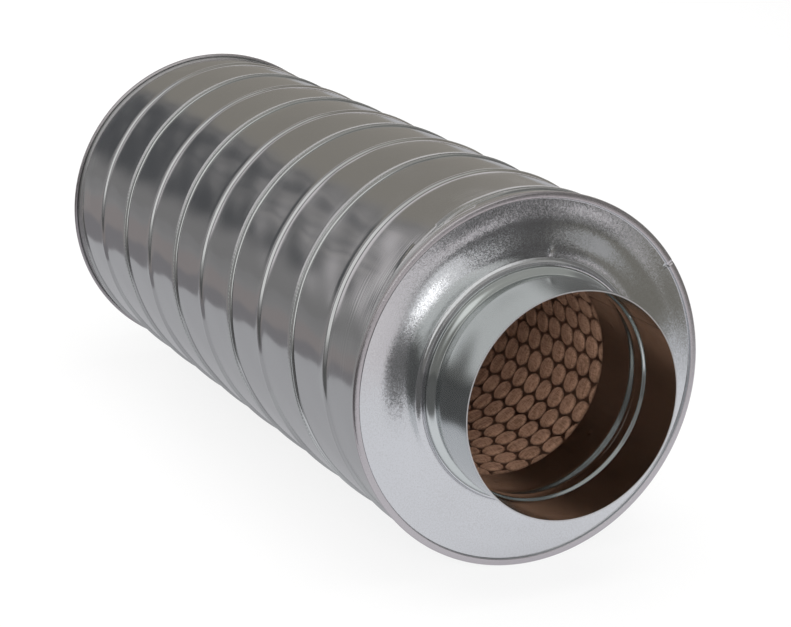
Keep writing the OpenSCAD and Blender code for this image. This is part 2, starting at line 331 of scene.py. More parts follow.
class Nodes:
    """A node tree that is built by expressions on its sockets."""

    def __init__(self, tree):
        self.tree = tree
        tree.nodes.clear()

    def node(self, kind, settings=(), sockets=(), output=0):
        """Adds a node of that kind, sets its settings, then fills or links its sockets."""
        made = self.tree.nodes.new(kind)
        for key, value in dict(settings).items():
            setattr(made, key, value)
        for key, value in dict(sockets).items():
            if isinstance(value, Value):
                self.tree.links.new(value.socket, made.inputs[key])
            else:
                made.inputs[key].default_value = value
        return Value(self, made.outputs[output]) if made.outputs else None

    def math(self, operation, *values):
        return self.node("ShaderNodeMath", {"operation": operation}, enumerate(values))

    def vector_math(self, operation, *values):
        return self.node("ShaderNodeVectorMath", {"operation": operation}, enumerate(values))

    def step(self, value, low, high):
        """Smooth step from 0 at low to 1 at high."""
        settings = {"interpolation_type": "SMOOTHSTEP"}
        sockets = {"Value": value, "From Min": low, "From Max": high}
        return self.node("ShaderNodeMapRange", settings, sockets)

    def band(self, value, rise, fall):
        """1 between two smooth edges, each given by the two values that it runs between, and 0 outside."""
        return self.step(value, *rise) * (1 - self.step(value, *fall))

    def mix(self, factor, a, b):
        """Colour that runs from a at factor 0 to b at factor 1."""
        a, b = (part if isinstance(part, Value) else rgba(part) for part in (a, b))
        return self.node("ShaderNodeMix", {"data_type": "RGBA"}, {0: factor, 6: a, 7: b}, 2)

    def noise(self, vector, scale, detail=2.0):
        """Soft noise from 0 to 1, about 0.5."""
        return self.node("ShaderNodeTexNoise", {}, {"Vector": vector, "Scale": scale, "Detail": detail})

    def line_noise(self, value, scale):
        """Noise along one value, which makes lines where that value is even."""
        return self.node("ShaderNodeTexNoise", {"noise_dimensions": "1D"}, {"W": value, "Scale": scale})

    def spangles(self, vector, scale, tilt):
        """Normal that is tilted by up to tilt, another way in each cell of a crystal pattern."""
        cells = self.node("ShaderNodeTexVoronoi", {}, {"Vector": vector, "Scale": scale}, "Color")
        lean = self.vector_math("SUBTRACT", cells, (0.5, 0.5, 0.5))
        normal = self.node("ShaderNodeNewGeometry", output="Normal")
        tilted = self.vector_math("MULTIPLY_ADD", lean, (2 * tilt,) * 3, normal)
        return self.vector_math("NORMALIZE", tilted)

    def bump(self, height, distance, strength):
        """Normal that is tilted by a height, which is in units of distance."""
        sockets = {"Strength": strength, "Distance": distance, "Height": height}
        return self.node("ShaderNodeBump", {}, sockets)

    def objects_place(self):
        """Place on the object, which is also the place in the duct's frame."""
        return self.node("ShaderNodeTexCoord", output="Object")

    def split(self, vector):
        """The three coordinates of a vector."""
        x = self.node("ShaderNodeSeparateXYZ", {}, {0: vector})
        return x, x.other(1), x.other(2)


def rgba(plain_colour):
    """A colour of three parts with the fourth that a socket takes."""
    return (*plain_colour, 1.0)


def new_finish(name):
    """An empty material and its node tree."""
    material = bpy.data.materials.new(name)
    material.use_nodes = True
    return material, Nodes(material.node_tree)


def close_finish(nodes, sockets):
    """Ends a finish with one shader, whose sockets are given."""
    shader = nodes.node("ShaderNodeBsdfPrincipled", {}, sockets)
    nodes.node("ShaderNodeOutputMaterial", {}, {"Surface": shader})


def casing_finish(sizes, colours):
    """Bright rolled zinc: cloudy gloss, rolling lines, a serrated rubbed seam and duller flares.

    The distance from the seam is |frac(x / lead - (angle - seam turn) / full turn + 1/2) - 1/2| leads.
    """
    material, nodes = new_finish("casing_zinc")
    at = nodes.objects_place()
    x, y, z = nodes.split(at)
    angle = nodes.math("ARCTAN2", z, y)
    turns = x / sizes.lead - angle / FULL_TURN + (sizes.seam_turn / FULL_TURN + 0.5)
    across = nodes.math("FRACT", turns) * sizes.lead
    from_seam = abs(across - 0.5 * sizes.lead)
    from_line = abs(nodes.math("FRACT", 2 * turns + 0.5) - 0.5) * (0.5 * sizes.lead)
    seam = 1 - nodes.step(from_seam, 0.36 * sizes.seam_w, 0.50 * sizes.seam_w)
    beside = (1 - nodes.step(from_line, 0.6 * sizes.seam_w, 2.4 * sizes.seam_w)) * (1 - seam)
    near_flange = nodes.step(abs(x), sizes.flange_x - sizes.lines_from, sizes.flange_x - sizes.lines_to)
    beside = nodes.math("MAXIMUM", beside, near_flange)
    flare = nodes.step(abs(x), sizes.flange_x - 1.1 * sizes.flare_l, sizes.flange_x - 0.7 * sizes.flare_l)
    cloud = nodes.noise(at, 9.0, 3.0)
    grain = nodes.noise(at, 900.0, 2.0)
    worn = nodes.step(nodes.noise(at, 90.0), 0.3, 0.6)
    teeth = 0.5 + 0.5 * nodes.math("SINE", float(sizes.seam_teeth) * angle) * worn
    lines = nodes.line_noise(across, 520.0) * nodes.step(nodes.noise(at, 22.0), 0.38, 0.66)
    streak = nodes.step(lines, 0.30, 0.55) * beside
    plain = nodes.mix(0.3 * cloud + 0.2 * grain, colours.casing_zinc, colours.seam_zinc)
    rubbed = nodes.math("MAXIMUM", nodes.math("MAXIMUM", 0.6 * seam, 0.5 * streak), flare)
    gloss = 0.07 + 0.06 * cloud + 0.02 * grain
    close_finish(nodes, {
        "Base Color": nodes.mix(rubbed, plain, colours.seam_zinc),
        "Metallic": 1.0,
        "Roughness": gloss + 0.12 * seam + 0.08 * beside * lines + 0.17 * flare,
        "Normal": nodes.bump(0.05 * grain + 0.3 * seam * teeth + 0.5 * beside * lines, 0.0003, 0.3),
    })
    return material


def cap_finish(sizes, colours):
    """Matt spangled zinc: fine tilted grains that show where light meets dark, and a duller folded rim."""
    material, nodes = new_finish("cap_zinc")
    at = nodes.objects_place()
    _, y, z = nodes.split(at)
    radius = (y ** 2 + z ** 2) ** 0.5
    hem = nodes.step(radius, sizes.step_r - sizes.step_bend, sizes.step_r + sizes.step_bend / 3)
    grain = nodes.noise(at, 1050.0, 1.0)
    cloud = nodes.noise(at, 14.0, 3.0)
    shade = nodes.step(0.25 * cloud + 0.75 * grain, 0.35, 0.60)
    face = nodes.mix(shade, colours.cap_tarnish, colours.cap_zinc)
    close_finish(nodes, {
        "Base Color": nodes.mix(hem, face, colours.hem_zinc),
        "Metallic": 1.0,
        "Roughness": 0.08 + 0.06 * cloud + 0.06 * grain + 0.10 * hem,
        "Normal": nodes.spangles(at, 1350.0, 0.015),
    })
    return material


def spigot_finish(sizes, colours):
    """Smooth zinc with a green cast, faint rolling lines round the wall and a pale cut edge."""
    material, nodes = new_finish("spigot_zinc")
    at = nodes.objects_place()
    x, _, _ = nodes.split(at)
    edge = nodes.step(abs(x), sizes.mouth_x - sizes.sheet_t / 2, sizes.mouth_x - sizes.sheet_t / 8)
    cloud = nodes.noise(at, 18.0, 3.0)
    grain = nodes.noise(at, 800.0, 2.0)
    lines = nodes.line_noise(x, 900.0)
    plain = nodes.mix(0.5 * cloud + 0.3 * grain, colours.spigot_zinc, colours.cap_zinc)
    close_finish(nodes, {
        "Base Color": nodes.mix(edge, plain, colours.raw_edge),
        "Metallic": 1.0,
        "Roughness": 0.10 + 0.06 * cloud + 0.04 * grain + 0.25 * edge,
        "Normal": nodes.bump(0.3 * grain + 0.3 * lines, 0.0002, 0.03),
    })
    return material


def liner_finish(colours):
    """Dull zinc, browned by painted shade and painted fleece reflection, with brown dust in its grain."""
    material, nodes = new_finish("liner_zinc_and_shade")
    at = nodes.objects_place()
    grain = nodes.noise(at, 500.0, 3.0)
    cloud = nodes.noise(at, 30.0, 2.0)
    dust = nodes.step(0.5 * grain + 0.5 * cloud, 0.35, 0.65)
    close_finish(nodes, {
        # Painted shade and a painted reflection of the fleece darken and brown the liner's zinc.
        "Base Color": nodes.mix(dust, colours.liner_zinc_and_shade, colours.fleece_dark),
        "Metallic": 1.0 - 0.3 * dust,
        "Roughness": 0.32 + 0.16 * dust,
        "Normal": nodes.bump(grain, 0.0002, 0.3),
    })
    return material


def fibre_finish(name, dark, light, scale, stretch, shade_full_r=0.0, shade_from_r=0.0):
    """Matted fibres: two layers of noise, each drawn out along its own direction, and soft clumps.

    Where radii are given, shade is painted on the fibres: none at the crown of a pad, fullest at its foot.
    """
    material, nodes = new_finish(name)
    at = nodes.objects_place()
    along = nodes.noise(nodes.vector_math("MULTIPLY", at, (1.0, stretch, stretch)), scale, 4.0)
    across = nodes.noise(nodes.vector_math("MULTIPLY", at, (stretch, 1.0, 1.0)), scale, 4.0)
    clump = nodes.noise(at, 60.0, 3.0)
    shade = nodes.step(0.4 * along + 0.4 * across + 0.2 * clump, 0.36, 0.64)
    fibres = nodes.mix(shade, dark, light)
    if shade_full_r:
        _, y, z = nodes.split(at)
        # Painted shade: the fibres darken from the crown of a pad towards its foot, for the shade in the
        # gaps between pads.
        foot = nodes.step((y ** 2 + z ** 2) ** 0.5, shade_from_r, shade_full_r)
        fibres = nodes.mix(0.75 * foot, fibres, [0.35 * part for part in dark])
    close_finish(nodes, {
        "Base Color": fibres,
        "Roughness": 0.95 - 0.15 * shade,
        "Sheen Weight": 0.5,
        "Sheen Roughness": 0.4,
        "Sheen Tint": rgba(light),
        "Specular IOR Level": 0.2,
        "Normal": nodes.bump(along + across, 0.0006, 0.5),
    })
    return material


def arc(centre, radius, start, stop, steps):
    """Points of an arc: centre plus radius times (cos a, sin a), a going from start to stop in degrees."""
    a = np.radians(np.linspace(start, stop, steps + 1))
    return np.array(centre) + radius * np.stack([np.cos(a), np.sin(a)], 1)


def eased(start, stop, steps):
    """Points from start to stop whose first coordinate follows (1 - cos t) / 2 and whose second is even."""
    t = np.linspace(0, 1, steps + 1)
    rise = (1 - np.cos(np.pi * t)) / 2
    return np.stack([start[0] + (stop[0] - start[0]) * rise, start[1] + (stop[1] - start[1]) * t], 1)


def spaced(path, gap):
    """The path with even points added to each stretch that is longer than gap."""
    stretches = zip(path[:-1], path[1:])
    counts = np.maximum(1, np.ceil(np.hypot(*np.diff(path, axis=0).T) / gap)).astype(int)
    parts = [np.linspace(a, b, n, endpoint=False) for (a, b), n in zip(stretches, counts)]
    return np.vstack([*parts, path[-1:]])


def sheet_outline(path, thickness):
    """Closed outline of a sheet whose middle follows path.

    The path is moved half the thickness to its left along the mitre (a + b) / (1 + a.b) of its neighbouring
    normals, and comes back half the thickness to its right.
    """
    step = np.diff(path, axis=0)
    step /= np.linalg.norm(step, axis=1, keepdims=True)
    left = np.stack([-step[:, 1], step[:, 0]], 1)
    a = np.vstack([left[:1], left])
    b = np.vstack([left, left[-1:]])
    mitre = (a + b) / (1 + (a * b).sum(1, keepdims=True))
    return np.vstack([path + thickness / 2 * mitre, (path - thickness / 2 * mitre)[::-1]])


def ring_angles(steps, places=(), offsets=()):
    """Angles once round in even steps, and more of them at each offset about each place."""
    even = np.arange(steps) * FULL_TURN / steps
    extra = np.add.outer(np.array(places, float), np.array(offsets, float)).ravel() % FULL_TURN
    return np.unique(np.concatenate([even, extra]).round(6))


def revolved(x, r, angle):
    """Points (x, r cos a, r sin a) of rings about the duct axis, one row for each angle."""
    x, r, a = np.broadcast_arrays(x, r, angle[:, None])
    return np.stack([x, r * np.cos(a), r * np.sin(a)], -1).reshape(-1, 3)


def closed_quads(rows, columns):
    """Quads between the points of a grid that closes on itself both ways."""
    ids = np.arange(rows * columns).reshape(rows, columns)
    return grid_quads(np.pad(ids, ((0, 1), (0, 1)), mode="wrap"))


def grid_quads(ids):
    """Quads between the neighbouring rows and columns of a grid of point numbers."""
    return np.stack([ids[:-1, :-1], ids[1:, :-1], ids[1:, 1:], ids[:-1, 1:]], -1).reshape(-1, 4)


def closed_triangles(points, quads):
    """Points and triangles of quads that were cut in two, without empty triangles and unused points."""
    triangles = np.vstack([quads[:, [0, 1, 2]], quads[:, [0, 2, 3]]])
    ordered = np.sort(triangles, axis=1)
    triangles = triangles[(np.diff(ordered, axis=1) > 0).all(1)]
    used, triangles = np.unique(triangles, return_inverse=True)
    return points[used], triangles.reshape(-1, 3)


def hump(distance, width):
    """Bell curve exp(-(2 d / w)^2), which is 1 at the middle and nearly 0 one width away."""
    return np.exp(-np.square(2 * distance / width))


def turn_between(angle, at):
    """Signed angle from at to angle, between minus and plus half a turn."""
    return (angle - at + np.pi) % FULL_TURN - np.pi


def add_piece(name, points, faces, node, material):
    """Makes a piece of points and faces, and puts it in the place of a node, if one is named.

    Its faces point outwards: they are turned round where the enclosed volume, the sum of a.(b x c) / 6 over
    the faces' triangles, comes out negative.
    """
    a, b, c = (points[faces[:, k]] for k in (0, 1, 2))
    volume = np.einsum("ij,ij->", a, np.cross(b, c))
    if faces.shape[1] == 4:
        volume += np.einsum("ij,ij->", a, np.cross(c, points[faces[:, 3]]))
    if volume < 0:
        faces = faces[:, ::-1]
    mesh = bpy.data.meshes.new(name)
    mesh.from_pydata(points.tolist(), [], faces.tolist())
    mesh.validate()
    mesh.shade_smooth()
    mesh.set_sharp_from_angle(angle=SHARP_TURN)
    mesh.materials.append(material)
    piece = bpy.data.objects.new(name, mesh)
    bpy.context.scene.collection.objects.link(piece)
    if node:
        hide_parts(node)
    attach(piece, BODY)
    return piece


def strip_profile(s):
    """One lead of the rolled strip as offsets along the axis from the seam, and heights.

    The lock seam is a raised band with a lower fold along its front, with small bevels at its corners. The
    rib is rib_h sin^2 over its width, and the strip between them bows by bow_h (1 - t^2), t from -1 to 1.
    """
    half_w = s.seam_w / 2
    low = s.seam_h - s.seam_step
    fold_x = half_w - s.seam_fold_w
    seam = np.array([
        (-half_w, 0),
        (-half_w + 0.3 * s.seam_h, 0.7 * s.seam_h),
        (-half_w + 0.6 * s.seam_h, s.seam_h),
        (fold_x - s.seam_step, s.seam_h),
        (fold_x - 0.2 * s.seam_step, s.seam_h - 0.3 * s.seam_step),
        (fold_x, low),
        (half_w - 0.6 * low, low),
        (half_w - 0.3 * low, 0.7 * low),
        (half_w, 0),
    ])
    t = np.linspace(0, 1, 13)
    rib = np.stack([s.lead / 2 + s.rib_w * (t - 0.5), s.rib_h * np.sin(np.pi * t) ** 2], 1)
    t = np.linspace(-1, 1, 12)[1:-1]
    half = (s.lead / 2 - s.rib_w / 2 - half_w) / 2
    bow = s.bow_h * (1 - t ** 2)
    first = np.stack([half_w + half * (1 + t), bow], 1)
    second = np.stack([s.lead / 2 + s.rib_w / 2 + half * (1 + t), bow], 1)
    return np.vstack([seam, first, rib, second]).T


def casing_waves(x, angle, height):
    """Waviness of the rolled strip: a sum of sines in the place along the axis and the angle about it."""
    return height * (
        np.sin(5 * angle + 37 * x)
        + 0.7 * np.sin(9 * angle - 61 * x + 1.3)
        + 0.5 * np.sin(14 * angle + 95 * x + 4.1)
        + 0.35 * np.sin(23 * angle - 140 * x + 2.2)
    )


def casing_surface(s, steps=360):
    """Points and triangles of the spiral tube.

    The outside is a grid of angle steps and strip columns, sheared so that a column follows the helix
    x = offset + lead (k + (angle - seam turn) / full turn). A column that has run past an end becomes that
    end's root ring. The ends and the inside are rings of an open profile from one root to the other, which
    flares out by the cube of the way along it.
    """
    root_x = s.flange_x - s.sheet_t - s.flare_l
    offset, height = strip_profile(s)
    count = len(offset)
    turns = math.ceil(root_x / s.lead) + 2
    columns = (np.arange(-turns, turns + 1)[:, None] * s.lead + offset).ravel()
    rise = np.tile(height, 2 * turns + 1)
    angle = np.arange(steps) * FULL_TURN / steps
    x = columns + s.lead * (angle[:, None] - s.seam_turn) / FULL_TURN
    fade = np.clip((root_x - np.abs(x)) / s.fade_l, 0, 1)
    waves = casing_waves(x, angle[:, None], s.wave_h)
    outside = revolved(x, s.tube_r + (rise + waves) * fade, angle)

    back_x = s.flange_x - s.sheet_t
    t = np.linspace(0, 1, 9)[:, None]
    root = np.array((root_x, s.tube_r))
    flare = root + np.hstack([t, t ** 3]) * (s.flare_l, s.flare_r - s.tube_r)
    inner = (flare + (t * s.sheet_t) * (1, 0) - (0, s.sheet_t))[::-1]
    end = np.vstack([flare, (back_x, s.flange_r), (s.flange_x, s.flange_r), inner])
    inside = np.vstack([end, (end * (-1, 1))[::-1]])
    rings = revolved(inside[:, 0], inside[:, 1], angle)

    ring_n = len(inside)
    first_ring = len(outside) + np.arange(steps) * ring_n
    ids = np.arange(outside.shape[0]).reshape(steps, -1)
    ids = np.where(x >= root_x, first_ring[:, None], ids)
    ids = np.where(x <= -root_x, first_ring[:, None] + ring_n - 1, ids)
    after = np.append(ids[0, count:], np.full(count, first_ring[0]))
    ids = np.vstack([ids, after])
    ring_ids = first_ring[:, None] + np.arange(ring_n)
    ring_ids = np.vstack([ring_ids, ring_ids[:1]])
    quads = np.vstack([grid_quads(ids), grid_quads(ring_ids)])
    return closed_triangles(np.vstack([outside, rings]), quads)


def cap_surface(s, front, steps=288):
    """Points and quads of an end cap: the outline of its sheet turned about the axis.

    The middle of the sheet runs from the collar's edge through the cove, over the dished face to the step,
    and round the fold to the lip. The face carries a slow waviness in angle and radius, and the front cap a
    nick across the rim and a crease at the foot of the collar.
    """
    face_x = s.rim_x - s.face_recess - s.sheet_t / 2
    inner_r = s.collar_r + s.cove_r
    cove = (inner_r, face_x + s.face_dish + s.cove_r)
    t = np.linspace(0, 1, 13)[1:]
    dish_x = face_x + s.face_dish * (1 + np.cos(np.pi * t)) / 2
    dish = np.stack([inner_r + s.dish_w * t, dish_x], 1)
    bend = s.step_bend
    front_x = s.rim_x - s.sheet_t / 2
    path = np.vstack([
        [(s.collar_r, s.collar_x)],
        arc(cove, s.cove_r, 180, 270, 10),
        dish,
        [(s.step_r - 1.5 * bend, face_x)],
        arc((s.step_r - bend, face_x + bend), bend, 270, 360, 4),
        arc((s.step_r + bend, front_x - bend), bend, 180, 90, 4),
        arc((s.fold_at_r, front_x - s.fold_r), s.fold_r, 90, -90, 10),
        [(s.fold_at_r - s.hem_lip, front_x - 2 * s.fold_r)],
    ])
    r, x = sheet_outline(spaced(path, gap=0.003), s.sheet_t).T
    detail_turn = 0.02
    fine = np.linspace(-1, 1, 9) * detail_turn
    angle = ring_angles(steps, (s.nick_turn, s.crease_turn), fine)
    a = angle[:, None]
    outer_r = s.step_r - s.plain_w
    on_face = np.clip((r - inner_r) / s.wave_in, 0, 1) * np.clip((outer_r - r) / s.wave_out, 0, 1)
    phase = 0.0 if front else 1.7
    waves = (
        np.sin(3 * a + 60 * r + phase)
        + 0.7 * np.sin(5 * a - 130 * r + 2 + phase)
        + 0.4 * np.sin(11 * a + 90 * r)
    )
    x = x + s.wave_h * on_face * waves
    if front:
        nick = hump(turn_between(a, s.nick_turn) * r, s.nick_w) * (r > s.step_r - s.nick_in)
        crease = hump(turn_between(a, s.crease_turn) * r, s.crease_w) * hump(r - s.crease_r, s.crease_l)
        x = x - s.nick_h * nick + s.crease_h * crease
    x = np.broadcast_to(x, (len(angle), len(r)))
    points = revolved(x if front else -x, r, angle)
    return points, closed_quads(len(angle), len(r))


def spigot_surface(s, collar_x, front, steps=288):
    """Points and quads of a spigot: the outline of its sheet turned about the axis.

    From the mouth the wall runs back to the stop groove, over the bead inside the cap's collar and on to
    the inner end; groove and bead have cosine flanks. On the inside each spot weld is a bell-shaped dimple,
    and the lengthwise weld a shallow bell-shaped groove.
    """
    groove_x = collar_x + s.bead_flank
    groove_front_x = groove_x + s.groove_floor
    barrel_x = groove_front_x + s.groove_flank
    bead_x = collar_x - s.bead_crest
    bead_r = s.wall_r + s.bead_h
    groove_r = s.wall_r - s.groove_h
    weld_gap = np.linspace(-1, 1, 9)[:, None] * (0, s.weld_d)
    path = np.vstack([
        [(s.wall_r, s.mouth_x)],
        eased((s.wall_r, barrel_x), (groove_r, groove_front_x), 10),
        eased((groove_r, groove_x), (bead_r, collar_x), 10),
        eased((bead_r, bead_x), (s.wall_r, bead_x - s.bead_tail), 10),
        ((s.wall_r, s.weld_x) + weld_gap)[::-1],
        [(s.wall_r, s.inner_x)],
    ])
    middle = spaced(path, gap=0.004)
    r, x = sheet_outline(middle, s.sheet_t).T
    welds = s.joint_turn + FULL_TURN * (np.arange(s.weld_n) + 0.5) / s.weld_n
    fine = np.linspace(-1, 1, 9) * s.weld_d / s.wall_r
    angle = ring_angles(steps, [*welds, s.joint_turn], fine)
    a = angle[:, None]
    inside = r < np.interp(-x, -middle[:, 1], middle[:, 0])
    nearest = turn_between((a - welds[0]) * s.weld_n, 0) / s.weld_n
    dimple = hump(np.hypot(nearest * s.wall_r, x - s.weld_x), s.weld_d)
    joint = hump(turn_between(a, s.joint_turn) * s.wall_r, 2 * s.joint_w)
    joint = joint * (np.abs(r - s.wall_r) < s.sheet_t)
    phase = 0.0 if front else 2.1
    past_groove = np.clip((x - barrel_x) / s.wave_l, 0, 1)
    waves = s.wave_h * past_groove * (np.sin(3 * a + phase) + 0.6 * np.sin(7 * a + 50 * x + phase))
    r = r + waves + inside * (s.weld_h * dimple + s.joint_h * joint)
    points = revolved(x if front else -x, r, angle)
    return points, closed_quads(len(angle), len(x))


def fleece_surface(s, steps=192, lengths=24):
    """Points and quads of the fleece sleeve: a plain tube with a wall, in even steps along and around."""
    angle = np.arange(steps) * FULL_TURN / steps
    along = np.linspace(-s.half_l, s.half_l, lengths + 1)
    x = np.concatenate([along, along[::-1]])
    r = np.repeat([s.inner_r, s.outer_r], lengths + 1)
    return revolved(x, r, angle), closed_quads(steps, len(x))


def pad_places(s):
    """Places along the axis and angles of the liner's holes: even rows, every other one half a pitch on."""
    rows = np.arange(s.hole_rows)
    reach = s.half_l - s.hole_margin - s.hole_d / 2
    count = math.ceil(2 * reach / s.hole_pitch)
    x = s.row_start + s.hole_pitch * (np.arange(-count, count) + (rows % 2)[:, None] / 2)
    angle = np.broadcast_to((s.row_turn + rows * FULL_TURN / s.hole_rows)[:, None], x.shape)
    inside = np.abs(x) <= reach
    return x[inside], angle[inside]


def pad_surface(s, spigot, around=14):
    """Points and triangles of the pads that the fleece makes in front of the holes of the liner.

    A pad is a dome on a neck. With u from below level to upright, its radius is half the pad's width times
    cos u and it stands pad_h sin u inwards of its widest ring; the neck fills the hole down to the sleeve.
    The first and last ring of a pad are single points.
    Towards a spigot's end a pad is pressed down, by the smooth step t^2 (3 - 2 t), until it is flat and
    clear of the spigot's wall.
    """
    u = np.radians([-22, 2, 26, 50, 72, 90])
    neck_r = s.hole_d / 2 - s.pad_clear
    dome = np.minimum(s.pad_d / 2 * np.cos(u), np.where(u < 0, neck_r, np.inf))
    ring_radius = np.concatenate([[0, neck_r], dome])
    ring_r = np.append(np.full(2, s.inner_r + s.pad_sunk), s.pad_r - s.pad_h * np.sin(u))
    t = np.arange(around) * FULL_TURN / around
    x, angle = pad_places(s)
    shows = np.abs(x) - s.pad_d / 2 < spigot.inner_x
    x = x[shows][:, None, None] + ring_radius[:, None] * np.cos(t)
    angle = angle[shows][:, None, None] + ring_radius[:, None] * np.sin(t) / s.inner_r
    least_r = spigot.wall_r + spigot.sheet_t / 2 + s.pad_clear
    under = np.clip((np.abs(x) - spigot.inner_x + s.pad_press_l) / (s.pad_press_l - 2 * s.pad_clear), 0, 1)
    pressed = np.maximum(least_r - ring_r, 0)[:, None] * under ** 2 * (3 - 2 * under)
    r = ring_r[:, None] + pressed
    points = np.stack([x, r * np.cos(angle), r * np.sin(angle)], -1).reshape(-1, 3)
    ids = np.arange(ring_r.size * around).reshape(-1, around)
    ids[[0, -1]] = ids[[0, -1], :1]
    quads = grid_quads(np.hstack([ids, ids[:, :1]]))
    first = np.arange(shows.sum()) * ids.size
    return closed_triangles(points, (first[:, None, None] + quads).reshape(-1, 4))


class ATTENUATOR_OT_casing(bpy.types.Operator):
    """Make the spiral-wound casing"""

    bl_idname = "attenuator.casing"
    bl_label = "Casing"

    def execute(self, context):
        s = context.scene.attenuator
        points, faces = casing_surface(s.casing)
        finish = casing_finish(s.casing, s.colours)
        add_piece("spiral_casing", points, faces, "outer_casing", finish)
        return {"FINISHED"}


class ATTENUATOR_OT_caps(bpy.types.Operator):
    """Make the two end caps"""

    bl_idname = "attenuator.caps"
    bl_label = "End caps"

    def execute(self, context):
        s = context.scene.attenuator
        finish = cap_finish(s.cap, s.colours)
        for end in ("front", "rear"):
            points, faces = cap_surface(s.cap, end == "front")
            add_piece(end + "_cap_sheet", points, faces, end + "_end_cap", finish)
        return {"FINISHED"}


class ATTENUATOR_OT_spigots(bpy.types.Operator):
    """Make the two spigots"""

    bl_idname = "attenuator.spigots"
    bl_label = "Spigots"

    def execute(self, context):
        s = context.scene.attenuator
        finish = spigot_finish(s.spigot, s.colours)
        for end in ("front", "rear"):
            points, faces = spigot_surface(s.spigot, s.cap.collar_x, end == "front")
            add_piece(end + "_spigot_sheet", points, faces, end + "_spigot", finish)
        return {"FINISHED"}


class ATTENUATOR_OT_packing(bpy.types.Operator):
    """Make the fleece sleeve, and dress the liner and the mineral wool"""

    bl_idname = "attenuator.packing"
    bl_label = "Liner and packing"

    def execute(self, context):
        s = context.scene.attenuator
        p = s.packing
        c = s.colours
        # The fleece's pads get painted shade towards their foot.
        fleece = fibre_finish("brown_fleece", c.fleece_dark, c.fleece_light, 900.0, 0.2, p.shade_full_r, p.shade_from_r)
        points, faces = fleece_surface(p)
        sleeve = add_piece("fleece_sleeve", points, faces, "fleece_wrap", fleece)
        points, faces = pad_surface(p, s.spigot)
        pads = add_piece("fleece_pads", points, faces, None, fleece)
        wool = fibre_finish("mineral_wool", c.wool_dark, c.wool_light, 260.0, 0.12)
        for node, finish in (("perforated_liner", liner_finish(c)), ("mineral_wool_packing", wool)):
            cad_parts[node].data.materials.clear()
            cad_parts[node].data.materials.append(finish)
        return {"FINISHED"}


def past_edge(x, y, bearing, distance):
    """How far (x, y) lies past a straight edge, given by its bearing in degrees and its distance."""
    angle = math.radians(bearing)
    return math.cos(angle) * x + math.sin(angle) * y - distance


def world_light(world, c):
    """Studio room: a warm wall behind the object that turns grey on the near side, under a pale lintel.

    The wall has a dark opening and faint swirls where it is grey. An arch of light spans the object from
    side to side, and a wide window stands in front, behind the camera. The room is white where it is seen
    itself. A place in the room is given by the unit direction (x, y, z) towards it.
    """
    world.use_nodes = True
    nodes = Nodes(world.node_tree)
    at = nodes.node("ShaderNodeTexCoord", output="Generated")
    x, y, z = nodes.split(at)
    bearing = nodes.math("ARCTAN2", y, x)
    side = y / (x ** 2 + y ** 2) ** 0.5
    behind = 1 - nodes.step(x, -0.3, 0.1)
    warm = behind * nodes.step(side, -0.12, 0.02)
    wall = nodes.mix(warm, c.wall, c.warm_wall)

    swirl_sockets = {"Vector": at, "Scale": 8.0, "Detail": 2.0, "Distortion": 3.0}
    swirl = nodes.node("ShaderNodeTexNoise", {}, swirl_sockets)
    swirled = behind * (1 - nodes.step(side, -0.10, -0.02)) * nodes.step(z, 0.20, 0.32)
    wall = nodes.mix(swirled * nodes.step(swirl, 0.50, 0.40), wall, c.swirl_dark)
    wall = nodes.mix(swirled * nodes.step(swirl, 0.54, 0.62), wall, c.swirl_light)

    # The opening is a slanted oblong, measured across its width and along its length
    across = past_edge(side, z, 125.1, 0.368)
    along = past_edge(side, z, 215.1, 0.016)
    opening = nodes.band(across, (-0.14, -0.08), (0.01, 0.10))
    opening = opening * nodes.band(along, (-0.24, -0.10), (0.18, 0.28)) * behind
    wall = nodes.mix(opening, wall, c.opening)
    wall = nodes.mix(nodes.step(x, 0.0, 0.5), wall, c.front_wall)
    wall = nodes.mix(nodes.step(z, 0.54, 0.62) * (1 - behind), wall, c.ceiling)

    lintel = nodes.step(x + 0.03 * nodes.step(side, 0.0, -0.25), -0.86, -0.815)
    lintel = lintel * (1 - nodes.step(x, -0.74, -0.64)) * nodes.step(z, 0.05, 0.20)
    wall = nodes.mix(lintel, wall, c.lintel)
    arch_light = nodes.mix(nodes.step(y, 0.1, -0.5), c.arch_far, c.arch_near)
    arch = nodes.band(x, (-0.38, -0.26), (-0.07, 0.04)) * nodes.step(z, 0.05, 0.25)
    wall = nodes.mix(arch, wall, arch_light)
    window = nodes.band(bearing, (-0.80, -0.58), (0.28, 0.62)) * nodes.band(z, (0.02, 0.16), (0.70, 0.80))
    wall = nodes.mix(window, wall, c.window)

    seen = nodes.node("ShaderNodeLightPath", output="Is Camera Ray")
    shown = nodes.mix(seen, wall, WHITE)
    background = nodes.node("ShaderNodeBackground", {}, {"Color": shown, "Strength": 1.0})
    nodes.node("ShaderNodeOutputWorld", {}, {"Surface": background})


